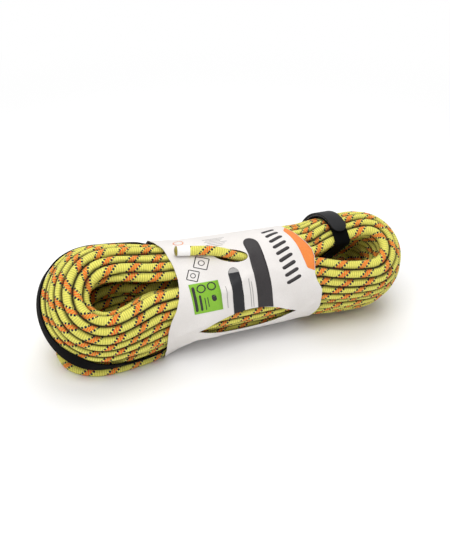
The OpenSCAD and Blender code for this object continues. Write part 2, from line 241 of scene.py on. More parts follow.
def wound_turns():
    """The turns before they settle: points in the hank's frame, and which layer each is in."""
    starts = []
    for k, turns in enumerate(LAYERS):
        shares = np.linspace(0, 1, turns + 1)
        starts += [(k, s) for s in (shares if k % 2 == 0 else shares[::-1])]
    lead = np.arange(RUN_LEAD, RIGHT_X, LEAD_STEP)
    rows = [(UPPER_RUN, x, 0, 0) for x in lead]
    turning, running = np.arange(TURN_STEPS + 1) / TURN_STEPS, np.arange(1, RUN_STEPS + 1) / (RUN_STEPS + 1)
    for here, after in zip(starts, starts[1:] + starts[-1:]):
        rows += [(RIGHT_END, 90 - 180 * w, *here) for w in turning]
        for w in running:
            c = smooth(w)
            rows.append((LOWER_RUN, RIGHT_X - TURN_SPAN * w, here[0] + (after[0] - here[0]) * c,
                         here[1] + (after[1] - here[1]) * c))
        rows += [(LEFT_END, -90 + 180 * w, *after) for w in turning]
        rows += [(UPPER_RUN, LEFT_X + TURN_SPAN * w, *after) for w in running]
    # The last turn stops where the end leaves for the outside
    stop = len(lead) + (RUN_STEPS + TURN_STEPS + 1) * 2 * (len(starts) - 1) + TURN_STEPS + 1
    stop += int((RIGHT_X - RUN_LEAD) / TURN_SPAN * (RUN_STEPS + 1))
    zone, at, layer, share = np.array(rows[:stop]).T
    at_right, at_left = zone == RIGHT_END, zone == LEFT_END
    turning = at_right | at_left
    size = np.where(turning[:, None], np.where(at_right[:, None], RIGHT_TURN, LEFT_TURN),
                    run_size(np.where(turning, 0, at)))
    along = np.arange(len(zone)) * MEAN_STEP
    turns = np.array(LAYERS)[np.round(layer).astype(int)]
    loose = np.where(layer < 0.5, 1.0, TIGHT)
    share = share + SIDE_WANDER / turns * loose * wander(along, 7, SIDE_WAVES)
    inset = layer * LAYER_PITCH + DEPTH_WANDER * loose * (0.9 + wander(along, 3, DEPTH_WAVES))
    p, a = profile_points(size, inset, share).T
    # The upper run twists a little where it leaves the left turn, and back again under the sleeve
    past = np.where(zone == UPPER_RUN, at - LEFT_X, np.where(at_left, np.radians(at - 90) * LEFT_MEAN_R, -99))
    twist = UPPER_TWIST * smooth((past + TWIST_LEAD) / TWIST_OVER)
    twist *= 1 - smooth((past + LEFT_X - UNTWIST_X) / UNTWIST_OVER)
    half = (size[:, 1] - size[:, 0]) / 2
    u, v = (p - size[:, 0]) / half - 1, a / size[:, 2]
    p = half * (1 + u * np.cos(twist) + v * np.sin(twist))
    p = size[:, 0] + np.where(p > EYE_EASE, p, EYE_EASE * np.exp(np.minimum(p / EYE_EASE - 1, 0)))
    a = size[:, 2] * (v * np.cos(twist) - u * np.sin(twist))
    angle = np.radians(at)
    x = np.where(at_right, RIGHT_X + p * np.cos(angle), np.where(at_left, LEFT_X - p * np.cos(angle), at))
    b = np.where(turning, p * np.sin(angle), np.where(zone == LOWER_RUN, -p, p))
    b = b + eye_middle(x, a) * hump(p - size[:, 0], DROP_REACH)
    return np.stack([x, b, a], 1), layer


def rope_route():
    """The whole rope, tail to end: points in the hank's frame, which of them stay as chosen, and their layers."""
    turns, layer = wound_turns()
    end = [(x + MID_SHIFT, y, END_Z) for x, y in END_ROUTE]
    parts = [np.array(q, float) for q in (TAIL_ROUTE, TAIL_UNDER, turns, END_UNDER, unplace(end))]
    fixed = np.concatenate([np.full(len(q), f) for q, f in zip(parts, (True, True, False, False, True))])
    fixed[-len(end) - END_LEAD:] = True
    depth = np.concatenate([layer if k == 2 else np.zeros(len(q)) for k, q in enumerate(parts)])
    return np.concatenate(parts), fixed, depth


# Settling: points that count as one stretch, a pair's reach, how alike strands side by side run and how far along
# they push, the gap they keep, the share of a push made at once, the greatest move, and the slack past the outline
BESIDE, PAIR_REACH, ALIKE, PUSH_ALONG, REST_GAP = 5, 15, 0.8, 6, ROPE_D * 0.99
PUSH_SHARE, GREATEST_MOVE, SLACK = 0.3, 2.0, 0.2
SETTLE_ROUNDS, PAIRS_EVERY, BLOCK = 72, 9, 400


def hold_inside(q):
    """Keeps points within the winding's outline, out of the eyes and above the table."""
    x = np.clip(q[:, 0], LEFT_X, RIGHT_X)
    over, b, a = q[:, 0] - x, q[:, 1], q[:, 2]
    eye, outer, depth = run_size(x).T
    rho = np.hypot(over, b)
    wide = np.maximum(rho - eye, 0) / (outer - eye + SLACK)
    out = np.maximum(np.hypot(wide, a / (depth + SLACK)), 1)
    scale = np.where(rho > eye, (eye + (rho - eye) / out) / np.maximum(rho, 0.01), 1.0)
    over, b, a = over * scale, b * scale, a / out
    middle = eye_middle(x + over, a)
    push = np.maximum(eye / np.maximum(np.hypot(over, b - middle), 0.01), 1)
    held = np.stack([x + over * push, middle + (b - middle) * push, a], 1)
    z = held[:, 1] * ROLL_C + held[:, 2] * ROLL_S + mid_h(held[:, 0])
    lift = np.maximum(FLOOR_Z - z, 0)
    held[:, 1] += lift * ROLL_C
    held[:, 2] += lift * ROLL_S
    return held


def near_pairs(q):
    pairs = []
    for i in range(0, len(q), BLOCK):
        part = q[i:i + BLOCK]
        gap2 = ((part ** 2).sum(1)[:, None] + (q ** 2).sum(1)[None] - 2 * part @ q.T)
        r, c = np.nonzero(gap2 < PAIR_REACH * PAIR_REACH)
        keep = c > r + i + BESIDE
        pairs.append(np.stack([r[keep] + i, c[keep]], 1))
    return np.concatenate(pairs)


def settle(q, fixed):
    """Lets the strands find their places: pairs closer than a rope apart push each other away,
    the push is smoothed along the rope, and the outline, the eyes and the table hold it in."""
    start = q.copy()
    free = (~fixed).astype(float)[:, None]
    inner = np.arange(len(q))
    for step in range(SETTLE_ROUNDS):
        if step % PAIRS_EVERY == 0:
            i, j = near_pairs(q).T
        t = unit(q[np.minimum(inner + 1, len(q) - 1)] - q[np.maximum(inner - 1, 0)])
        dot = (t[i] * t[j]).sum(1)
        mean = t[i] + t[j] * np.sign(dot)[:, None]
        mean /= np.linalg.norm(mean, axis=1)[:, None] + 1e-9
        gap = q[j] - q[i]
        axial = (gap * mean).sum(1)
        side = np.abs(dot) > ALIKE
        gap = gap - np.where(side, axial, 0)[:, None] * mean
        dist = np.linalg.norm(gap, axis=1) + 1e-6
        push = np.where((dist < REST_GAP) & (~side | (np.abs(axial) < PUSH_ALONG)), REST_GAP - dist, 0)
        push = (push / dist)[:, None] * gap * PUSH_SHARE
        move = np.zeros_like(q)
        np.add.at(move, j, push)
        np.add.at(move, i, -push)
        size = np.linalg.norm(move, axis=1)
        move *= (np.minimum(size, GREATEST_MOVE) / np.maximum(size, 1e-6))[:, None]
        moved = q + move * free - start
        for _ in range(2):
            moved[1:-1] = (moved[:-2] + 2 * moved[1:-1] + moved[2:]) / 4
        q = np.where(fixed[:, None], start, hold_inside(start + moved * free))
    return q


def even_spline(points, steps):
    """A smooth line through points, with rings a chosen step apart (one step for each point's stretch)."""
    padded = np.concatenate([[2 * points[0] - points[1]], points, [2 * points[-1] - points[-2]]])
    fine, wish = [], []
    for k in range(len(points) - 1):
        p0, p1, p2, p3 = padded[k:k + 4]
        for t in np.arange(6) / 6:
            fine.append(0.5 * (2 * p1 + (p2 - p0) * t + (2 * p0 - 5 * p1 + 4 * p2 - p3) * t * t
                               + (3 * p1 - p0 - 3 * p2 + p3) * t ** 3))
            wish.append(steps[k])
    fine = np.array(fine + [points[-1]])
    length = np.linalg.norm(np.diff(fine, axis=0), axis=1)
    count = np.concatenate([[0], np.cumsum(length / np.array(wish))])
    return points_at(np.linspace(0, count[-1], int(round(count[-1])) + 1), count, fine)


def ring_frames(line):
    """Side and up vectors that turn with a line and don't twist."""
    t = unit(np.gradient(line, axis=0))
    side = np.zeros_like(line)
    side[0] = unit(np.cross(t[0], (0.3, 0.1, 1.0)))
    for k in range(1, len(line)):
        side[k] = unit(side[k - 1] - t[k] * np.dot(side[k - 1], t[k]))
    return side, np.cross(t, side)


def add_mesh(name, verts, faces, uvs=None, smooth_faces=True):
    """A piece at the origin from points in millimetres, with one UV for each face corner."""
    mesh = bpy.data.meshes.new(name)
    mesh.from_pydata((np.asarray(verts) * MM).tolist(), [], [list(map(int, f)) for f in faces])
    if uvs is not None:
        layer = mesh.uv_layers.new(name="UVMap")
        layer.data.foreach_set("uv", np.asarray(uvs, np.float32).ravel())
    mesh.polygons.foreach_set("use_smooth", np.full(len(mesh.polygons), smooth_faces))
    mesh.update()
    return add_object(name, mesh)


def outwards(piece):
    """Turns all faces of a piece outwards."""
    mesh = bmesh.new()
    mesh.from_mesh(piece.data)
    bmesh.ops.recalc_face_normals(mesh, faces=mesh.faces)
    mesh.to_mesh(piece.data)
    mesh.free()
    return piece


LEAST_Z, CENTIMETRES = 0.02, (10, 10)


def sweep(name, line, across, out, section, closed=False, scale=1.0, uv_mm=CENTIMETRES):
    """A band or a cord along a line, above the table: the section's points are offsets across it and out of it, in
    millimetres. One UV unit is so many millimetres along it and round it."""
    line, across, out, section = (np.asarray(q, float) for q in (line, across, out, section))
    n, m = len(line), len(section)
    shape = section * np.broadcast_to(scale, (n, 2))[:, None]
    rings = line[:, None] + shape[..., :1] * across[:, None] + shape[..., 1:] * out[:, None]
    rings[..., 2] = np.maximum(rings[..., 2], LEAST_Z)
    u, v = run_length(closed_ring(line) if closed else line) / uv_mm[0], run_length(closed_ring(section)) / uv_mm[1]
    i, k = np.meshgrid(np.arange(n if closed else n - 1), np.arange(m), indexing="ij")
    corners = ((i, k), (i, k + 1), (i + 1, k + 1), (i + 1, k))
    faces = np.stack([r % n * m + c % m for r, c in corners], -1).reshape(-1, 4).tolist()
    uvs = np.stack([np.stack([u[r], v[c]], -1) for r, c in corners], 2).reshape(-1, 2)
    if not closed:
        faces += [list(range(m))[::-1], list(range((n - 1) * m, n * m))]
        uvs = np.concatenate([uvs, np.zeros((2 * m, 2))])
    piece = outwards(add_mesh(name, rings.reshape(-1, 3), faces, uvs))
    piece.data.set_sharp_from_angle(angle=math.radians(50))
    return piece


def colour(text):
    """A hex colour as seen on a screen, as linear values."""
    parts = [int(text[k:k + 2], 16) / 255 for k in (1, 3, 5)]
    return tuple(c / 12.92 if c <= 0.04045 else ((c + 0.055) / 1.055) ** 2.4 for c in parts) + (1.0,)


def add(tree, kind, inputs=(), out=0, **settings):
    """Adds one node with its settings; an input takes a value, a hex colour or an output. Gives one output back."""
    node = tree.nodes.new(kind)
    for name, value in settings.items():
        setattr(node, name, value)
    for name, value in inputs.items() if isinstance(inputs, dict) else enumerate(inputs):
        if isinstance(value, bpy.types.NodeSocket):
            tree.links.new(value, node.inputs[name])
        else:
            node.inputs[name].default_value = colour(value) if isinstance(value, str) else value
    return node.outputs[out] if len(node.outputs) else None


MATH, MIX, NOISE, BUMP = "ShaderNodeMath", "ShaderNodeMix", "ShaderNodeTexNoise", "ShaderNodeBump"
COORDS, UV, SPLIT, WAVE = "ShaderNodeTexCoord", "ShaderNodeUVMap", "ShaderNodeSeparateXYZ", "ShaderNodeTexWave"
SURFACE, OUTPUT = "ShaderNodeBsdfPrincipled", "ShaderNodeOutputMaterial"
# Settings that many nodes share
PLUS, MINUS, TIMES, SCALED, BELOW, WITHIN = ({"operation": name} for name in (
    "ADD", "SUBTRACT", "MULTIPLY", "MULTIPLY_ADD", "LESS_THAN", "FLOORED_MODULO"))
TINTS = {"out": 2, "data_type": "RGBA"}
# Sizes of uneven patches in millimetres: dye on the yarns, rubbed places on tape, clouds on even stuff, and fibres in
# the background paper, which are drawn coarse enough to show
DYE_MM, RUBBED_MM, CLOUD_MM, FIBRE_MM = 6.25, 11.11, 28.57, 2


def new_material(name):
    material = bpy.data.materials.new(name)
    material.use_nodes = True
    material.node_tree.nodes.clear()
    return material, material.node_tree


def surfaced(material, shade, height, deep_mm, strength, settings):
    """Ends a material: its colour, its relief and what else its surface is set to."""
    t = material.node_tree
    relief = add(t, BUMP, {"Height": height, "Distance": deep_mm * MM, "Strength": strength})
    add(t, OUTPUT, {"Surface": add(t, SURFACE, {"Base Color": shade, "Normal": relief, **settings})})
    return material


# The braid: yarns each way and pitch; the orange yarns, the navy pairs' places and half width, and the share of every
# four crossings that a navy dot takes up
YARNS, BRAID_PITCH = 22, 25.0
ORANGE_YARNS, NAVY_AT, NAVY_HALF, NAVY_DOT = 4.5, (6.2, 20.8), 1.25, 2.4


def braided_sheath():
    """Braided polyamide sheath: soft, slightly shiny yarns in a two-over-two braid, lime with one band of
    orange yarns and a pair of navy yarns on each side of it, which show as dots where they come to the top."""
    material, t = new_material("braided_polyamide_sheath")
    uv = add(t, UV, uv_map="UVMap")
    along, round_ = (add(t, SPLIT, [uv], out=axis) for axis in "XY")
    right, left = (add(t, MATH, [add(t, MATH, [round_, along], **way), YARNS], **TIMES) for way in (PLUS, MINUS))
    right_no, left_no = (add(t, MATH, [way], operation="FLOOR") for way in (right, left))
    phase = add(t, MATH, [add(t, MATH, [right_no, left_no], **MINUS), 4], **WITHIN)
    orange = add(t, MATH, [add(t, MATH, [right_no, YARNS], **WITHIN), ORANGE_YARNS], **BELOW)
    over = add(t, MATH, [phase, add(t, MATH, [1.5, orange], **PLUS)], **BELOW)
    ridges = []
    for way in (right, left):
        place_in_yarn = add(t, MATH, [add(t, MATH, [way], operation="FRACT"), math.pi], **TIMES)
        ridges.append(add(t, MATH, [place_in_yarn], operation="SINE"))
    ridge = add(t, MIX, {"Factor": over, 2: ridges[1], 3: ridges[0]}, data_type="FLOAT")
    mottle = add(t, NOISE, {"Vector": add(t, COORDS, out="Object"), "Scale": 1 / (DYE_MM * MM), "Detail": 2})
    # Painted light: yarns that run the other way are drawn duller, and every yarn has a painted highlight on its
    # crown and painted shade towards its edges; the mottle is uneven dye
    painted_light_and_mottle = add(t, MATH, [over, 0.42, 0.08], **SCALED)
    painted_light_and_mottle = add(t, MATH, [ridge, 0.5, painted_light_and_mottle], **SCALED)
    painted_light_and_mottle = add(t, MATH, [mottle, 0.3, painted_light_and_mottle], use_clamp=True, **SCALED)
    lime = add(t, MIX, {"Factor": painted_light_and_mottle, 6: "#A8A30A", 7: "#FFF87A"}, **TINTS)
    # The orange yarns also get painted shade towards their edges and a painted highlight on their crowns
    warm = add(t, MIX, {"Factor": ridge, 6: "#FF5A0C", 7: "#FF8036"}, **TINTS)
    top_orange = add(t, MATH, [over, orange], **TIMES)
    # The navy pairs are drawn a little wider than their yarns and show as dots, two crossings on top and two below
    across = add(t, MATH, [right, YARNS], **WITHIN)
    navy = add(t, MATH, [add(t, MATH, [across, at, NAVY_HALF], operation="COMPARE") for at in NAVY_AT], **PLUS)
    dots = add(t, MATH, [add(t, MATH, [left, 4], **WITHIN), NAVY_DOT], **BELOW)
    top_navy = add(t, MATH, [dots, navy], **TIMES)
    shade = add(t, MIX, {"Factor": top_orange, 6: lime, 7: warm}, **TINTS)
    shade = add(t, MIX, {"Factor": top_navy, 6: shade, 7: "#0B1238"}, **TINTS)
    # Painted shade: the colour is darkened where two strands lie close, in the grooves between them
    deep = add(t, MATH, [add(t, "ShaderNodeAttribute", out="Fac", attribute_name="painted_groove_shade"), 0.96], **TIMES)
    shade = add(t, MIX, {"Factor": deep, 6: shade, 7: "#241C04"}, blend_type="MULTIPLY", **TINTS)
    return surfaced(material, shade, ridge, 0.5, 0.8, {"Roughness": 0.62, "Specular IOR Level": 0.2,
                                                       "Sheen Weight": 0.06, "Sheen Roughness": 0.4})


def woven_tape(name, base, worn, rib_mm, pick_mm):
    """Woven polyamide tape: lengthwise ribs crossed by finer picks, dull, and paler where it is rubbed.
    The UV map is in centimetres, on which a wave of scale 1 is pi millimetres long."""
    material, t = new_material(name)
    uv = add(t, UV, uv_map="UVMap")
    weave = add(t, MATH, [
        add(t, WAVE, {"Vector": uv, "Scale": math.pi / size, "Distortion": uneven}, out="Fac", bands_direction=way)
        for way, size, uneven in (("Y", rib_mm, 0.4), ("X", pick_mm, 0.6))], **TIMES)
    rubbed = add(t, NOISE, {"Vector": add(t, COORDS, out="Object"), "Scale": 1 / (RUBBED_MM * MM), "Detail": 3})
    lift = add(t, MATH, [weave, rubbed], **TIMES)
    shade = add(t, MIX, {"Factor": lift, 6: base, 7: worn}, **TINTS)
    return surfaced(material, shade, weave, 0.3, 0.7, {"Roughness": 0.75, "Specular IOR Level": 0.05})


def mottled(name, low, high, grain_mm, relief_mm, roughness, specular=0.4, sheen=0.0, coat=0.0):
    """A nearly even surface whose colour wanders a little from low to high, with a fine grain in its relief."""
    material, t = new_material(name)
    at = add(t, COORDS, out="Object")
    broad = add(t, NOISE, {"Vector": at, "Scale": 1 / (CLOUD_MM * MM), "Detail": 3})
    grain = add(t, NOISE, {"Vector": at, "Scale": 1 / (grain_mm * MM), "Detail": 2})
    share = add(t, MATH, [add(t, MATH, [broad, grain], **TIMES), 2.4, -0.1], use_clamp=True, **SCALED)
    shade = add(t, MIX, {"Factor": share, 6: low, 7: high}, **TINTS)
    return surfaced(material, shade, grain, relief_mm, 0.6, {
        "Roughness": roughness, "Specular IOR Level": specular, "Sheen Weight": sheen, "Sheen Roughness": 0.5,
        "Coat Weight": coat, "Coat Roughness": 0.3})


# What is sewn, printed or melted, each named for its stuff. A grain that is too fine to show is drawn as coarse as it
# needs to be.
# Coated card: off-white and matt, with a faint cloudiness and a very fine tooth
CARD = mottled("matt_coated_card", "#D9D4D0", "#E6E2DF", 0.9, 0.03, 0.6, 0.25)
# Offset inks on the card: flat and matt, a little uneven where they were laid on
INK_BLACK = mottled("black_offset_ink", "#302D2E", "#3D3A3B", 1.2, 0.02, 0.5, 0.2)
INK_GREY = mottled("grey_offset_ink", "#8E8C8A", "#A8A6A4", 1.2, 0.02, 0.55)
INK_ORANGE = mottled("orange_offset_ink", "#DC7429", "#E8883C", 1.2, 0.02, 0.5)
# Sticky paper labels: printed all over, with a light varnish
PAPER_DARK = mottled("dark_varnished_paper", "#1E1E20", "#2B2B2E", 0.8, 0.02, 0.42, 0.2, coat=0.05)
PAPER_GREEN = mottled("green_varnished_paper", "#78AE2A", "#88BC3A", 0.8, 0.02, 0.45, 0.25, coat=0.05)
# Tapes: dull black, ribbed along and picked across, coarse enough to show
TAPE = woven_tape("woven_polyamide_tape", "#030303", "#090909", 1.3, 0.8)
WEBBING = woven_tape("flat_polyamide_webbing", "#070606", "#151413", 2.0, 1.1)
# Coated tab: rubbery charcoal with a fine moulded grain and almost no shine
COATED_TAB = mottled("coated_polyamide_tab", "#0F0F11", "#171719", 0.8, 0.05, 0.6, 0.18)
# Hook and loop piles: the loops fluffy and dull, the hooks stiff and a little shiny
LOOP_PILE = mottled("brushed_loop_pile", "#101012", "#2E2E32", 0.7, 0.5, 0.9, 0.2, sheen=0.5)
HOOK_PILE = mottled("moulded_hook_pile", "#141416", "#232326", 0.9, 0.1, 0.5)
# Bonded thread: tight and slightly waxy
THREAD = mottled("bonded_polyester_thread", "#1D1D20", "#3A3A40", 0.4, 0.1, 0.5, sheen=0.2)
# Shrunk film on the ends, and the melted ends themselves
FILM = mottled("white_shrunk_film", "#E9E7E4", "#F7F6F4", 3.0, 0.05, 0.3, 0.5, coat=0.3)
MELTED = mottled("melted_polyamide", "#6E6414", "#A89A2A", 1.6, 0.5, 0.28, 0.5)


def finish_piece(piece, body, material, nodes=(), fold=None):
    """What every modelled piece needs: its material, the body it rides on and the nodes it stands for.
    A piece given a fold is only baked where it lies and rides on no body; the fold's bodies and points are not used."""
    if not piece.data.materials:
        piece.data.materials.append(material)
    if fold:
        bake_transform(piece)
    else:
        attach(piece, body)
    if nodes:
        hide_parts(*nodes)


# The rope's mesh: its sides and its ring steps in the outer layers and below, and where painted shade darkens its
# skin between strands
ROPE_SIDES, OUTER_STEP, INNER_STEP, OUTER_LAYERS = 14, 5.2, 9.0, 1.5
CROWD_REACH, CROWD_FROM, CROWD_OVER = 2.2 * ROPE_D, ROPE_D * 0.87, ROPE_D * 0.26


def groove_shade_share(line, skin):
    """How close each point of the rope's skin lies to another stretch: 1 where they touch, 0 in the open. It darkens
    the sheath as painted shade.
    """
    tree = KDTree(len(line))
    for k, spot in enumerate(line):
        tree.insert(spot, k)
    tree.balance()
    close = np.zeros(skin.shape[:2])
    for i in range(len(line)):
        around = [k for _, k, _ in tree.find_range(line[i], CROWD_REACH) if abs(k - i) > BESIDE]
        if around:
            away = np.linalg.norm(skin[i][:, None] - line[around][None], axis=2).min(1)
            close[i] = smooth((CROWD_FROM - away) / CROWD_OVER)
    return close


def add_rope():
    route, fixed, depth = rope_route()
    line = even_spline(place(settle(route, fixed)), np.where(depth < OUTER_LAYERS, OUTER_STEP, INNER_STEP))
    turn = np.arange(ROPE_SIDES) * 2 * math.pi / ROPE_SIDES
    section = ROPE_D / 2 * np.stack([np.cos(turn), np.sin(turn)], 1)
    girth = ROPE_SIDES * ROPE_D * math.sin(math.pi / ROPE_SIDES)
    piece = sweep("rope", line, *ring_frames(line), section, uv_mm=(BRAID_PITCH, girth))
    skin = np.array([v.co for v in piece.data.vertices]).reshape(len(line), ROPE_SIDES, 3) / MM
    # Painted shade between strands, kept on the rope's points for its material
    painted_groove_shade = piece.data.attributes.new("painted_groove_shade", "FLOAT", "POINT")
    painted_groove_shade.data.foreach_set("value", groove_shade_share(line, skin).ravel())
    return piece, line


rope, rope_line = add_rope()
finish_piece(rope, "hank", braided_sheath(),
             ["rope_turns", "inner_turns", "tail_sheath", "end_sheath", "tail_core", "end_core"])
rope_ends = [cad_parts[n] for n in ("tail_marker", "tail_seal", "end_marker", "end_seal")]
for piece, material in zip(rope_ends, (FILM, MELTED, FILM, MELTED)):
    piece.data.materials.clear()
    piece.data.materials.append(material)

# Card sleeve: round the waist by degrees from the upper run to the front, with a flat stretch at the front and the
# back. A degree is about so many millimetres
FLAT = 11.0
ROUND = 360 + 2 * FLAT
DEGREE = 0.97
# The glued seam: where it is, its overlap, the gap in it, and how the upper layer rises before it ends
SEAM_AT, SEAM_OVER, SEAM_GAP, SEAM_RISE = 292.0, 15.0, 0.15, (12, 10)
CARD_STEP, CARD_COLS = 2.5, 65
INK_LIFT, INK_T = CARD_T + 0.06, 0.06
# The card's cut edges as they lie: degrees round it, and how far along the hank
LEFT_EDGE = ((11, -80), (38, -77.1), (50, -73.9), (66, -72.5), (78, -70.3), (95, -69), (104, -69.7), (117, -71.8),
             (131, -76.5), (141, -82.3), (153, -85.6), (166, -86.1), (200, -84.7), (235, -81), (290, -76), (340, -80))
RIGHT_EDGE = ((11, 62), (41, 63.1), (52, 67), (64, 70.7), (75, 74.9), (86, 78.7), (95, 79.3), (105, 77.6),
              (117, 75.8), (126, 77.3), (139, 83), (153, 83.2), (168, 83.9), (186, 80.7), (235, 78), (290, 74),
              (340, 66))
# Creases: from and to (along, degrees), height and half width in millimetres. Those past the print are sharper
SHARP_FOLD, SOFT_FOLD, PRINT_ENDS = 1.2, 2.0, 150.0
CREASES = ((-62, 100, 2, 130, 1.3, 5), (14, 100, -34, 124, 1.5, 4.5), (20, 92, 70, 128, 1.1, 6),
           (-82, 168, -38, 152, 1.9, 5), (-84, 190, 82, 194, 1.2, 3.5), (-66, 60, -40, 20, 1.0, 7),
           (34, 150, 80, 176, 1.8, 5), (30, 40, 62, 76, 0.8, 8), (-62, 178, -20, 190, 1.6, 5),
           (44, 118, 76, 150, 0.9, 6), (-40, 250, 30, 262, 1.2, 8), (-70, 320, 40, 336, 1.2, 9),
           (10, 226, 70, 214, 1.0, 7), (56, 176, 80, 152, 1.5, 4))
# The window and the tail's hole: place along, degrees round, length, height and turn
WINDOW_X, WINDOW_AT, WINDOW_LEN, WINDOW_H, WINDOW_TURN = 1.0, 163.0, 108.0, 34.0, -2.0
HOLE_X, HOLE_AT, HOLE_LEN, HOLE_W, HOLE_TURN = -9.3, 75.9, 36.4, 15.4, 17.0
# Bulges: height, how it goes along the card, and degrees round it with half width and power
BULGES = (
    # The tail goes in under the card, and so do the webbing's two ends and the rope's other end
    (1.8, lambda x: hump(x - 6, 7.5), 80, 8, 2),
    (2.4, lambda x: smooth((-50 - x) / 12), 0, 16, 4),
    (2.4, lambda x: smooth((-50 - x) / 12), 201, 18, 4),
    (0.8, lambda x: smooth((-42 - x) / 12), 212.5, 10.5, 2),
    (6.6, lambda x: np.clip((-58 - x) / 28, 0, 1), 212.5, 10.5, 2),
    # The card bows out a little round the window, whose edges it can't pull tight
    (2.6, lambda x: hump(x - WINDOW_X, 60, 6), WINDOW_AT, 20, 4))
# Its mouths stand off the strands, which spread there, so that it can slide: how far, from where, over what length
LEFT_MOUTH, RIGHT_MOUTH = (1.3, -64, 14), (0.6, 70, 12)


def card_edge(table, w):
    at, x = np.array(table, float).T
    return np.interp(np.asarray(w) % ROUND, at, x, period=ROUND)


def card_relief(x, w):
    """How far creases and what lies beneath lift the card."""
    turn = np.asarray(w) % ROUND
    lift = np.zeros(np.broadcast(x, w).shape)
    for x0, w0, x1, w1, height, wide in CREASES:
        span = np.array([x1 - x0, (w1 - w0) * DEGREE])
        step = ((x - x0) * span[0] + (turn - w0) * DEGREE * span[1]) / (span @ span)
        held = np.clip(step, 0, 1)
        away = np.hypot(x - x0 - span[0] * held, (turn - w0) * DEGREE - span[1] * held)
        fold = SHARP_FOLD if min(w0, w1) >= PRINT_ENDS else SOFT_FOLD
        ends = np.clip(1.6 * np.sin(math.pi * np.clip(step, 0.02, 0.98)), 0, 1)
        lift += height * hump(away, wide, fold) * ends
    for height, along, at, wide, power in BULGES:
        away = ((turn - at + ROUND / 2) % ROUND - ROUND / 2) * DEGREE
        lift += height * along(x) * hump(away, wide, power)
    lift += LEFT_MOUTH[0] * smooth((LEFT_MOUTH[1] - x) / LEFT_MOUTH[2])
    return lift + RIGHT_MOUTH[0] * smooth((x - RIGHT_MOUTH[1]) / RIGHT_MOUTH[2])


def card_point(x, w, lift=0.0):
    """A point of the card: along the hank, degrees round it, and above the card's inner face."""
    x, w = np.broadcast_arrays(np.asarray(x, float), np.asarray(w, float))
    turn = w % ROUND
    front, back = np.clip(turn - 90, 0, FLAT), np.clip(turn - 270 - FLAT, 0, FLAT)
    angle = np.radians(turn - front - back)
    shift = 1 - 2 * front / FLAT + 2 * back / FLAT
    size = run_size(x, LEFT_SIZE, RIGHT_SIZE)
    grow = ROPE_D / 2 + CARD_GAP + lift + card_relief(x, w)
    b = shift * WAIST_EYE + (size[..., 1] - WAIST_EYE + grow) * np.cos(angle)
    a = (size[..., 2] + grow) * np.sin(angle)
    points = place(np.stack([x.ravel(), b.ravel(), a.ravel()], 1)).reshape(x.shape + (3,))
    # It lies flat where it meets the table
    points[..., 2] = np.maximum(points[..., 2], 0.05 + np.maximum(CARD_T - lift, 0))
    return points


def slab(x, w, lift, thick):
    """A thin closed solid on the card from a grid of places, its lower face and its thickness."""
    low, high = card_point(x, w, lift), card_point(x, w, lift + thick)
    at = np.arange(low[..., 0].size).reshape(low.shape[:2])
    quads = np.stack([at[:-1, :-1], at[:-1, 1:], at[1:, 1:], at[1:, :-1]], -1).reshape(-1, 4)
    rim = np.concatenate([at[0], at[1:, -1], at[-1, -2::-1], at[-2:0:-1, 0]])
    after, n = np.roll(rim, -1), at.size
    faces = [quads, n + quads[:, ::-1], np.stack([after, rim, n + rim, n + after], 1)]
    return np.concatenate([low.reshape(-1, 3), high.reshape(-1, 3)]), np.concatenate(faces)


def joined(name, slabs):
    """One piece from several closed shapes, with all faces turned outwards."""
    starts = np.cumsum([0] + [len(verts) for verts, _ in slabs])
    faces = [start + quads for start, (_, quads) in zip(starts, slabs)]
    return outwards(add_mesh(name, np.concatenate([verts for verts, _ in slabs]), np.concatenate(faces)))


def applied(piece):
    """Turns a piece and its modifiers into a plain mesh."""
    seen = piece.evaluated_get(bpy.context.evaluated_depsgraph_get())
    mesh = bpy.data.meshes.new_from_object(seen)
    piece.modifiers.clear()
    piece.data = mesh
    return piece


def lens_outline(length, height, steps=28):
    t = np.linspace(-1, 1, steps + 1)
    top = np.stack([t * length / 2, (1 - t * t) * height / 2], 1)
    return np.concatenate([top[:-1], -top[:-1]])


def oval_outline(length, height, steps=40):
    t = np.arange(steps) * 2 * math.pi / steps
    return np.stack([np.cos(t) * length / 2, np.sin(t) * height / 2], 1)


def turned_by(points, degrees):
    c, s = math.cos(math.radians(degrees)), math.sin(math.radians(degrees))
    return np.asarray(points, float) @ ((c, s), (-s, c))


CUT_DEPTH = 18


def cutter(outline, x, w, turn):
    """A prism that stands on the card at a place and goes through one wall."""
    here, ahead, along = card_point(x, w), card_point(x, w + 1), card_point(x + 1, w)
    ex = unit(along - here)
    ew = unit(ahead - here - ex * ((ahead - here) @ ex))
    out = np.cross(ex, ew)
    flat = here + turned_by(outline, turn) @ (ex, ew)
    n = len(outline)
    sides = [[k, (k + 1) % n, n + (k + 1) % n, n + k] for k in range(n)]
    return outwards(add_mesh("cutter", np.concatenate([flat - out * CUT_DEPTH, flat + out * CUT_DEPTH]),
                             sides + [list(range(n))[::-1], list(range(n, 2 * n))], smooth_faces=False))


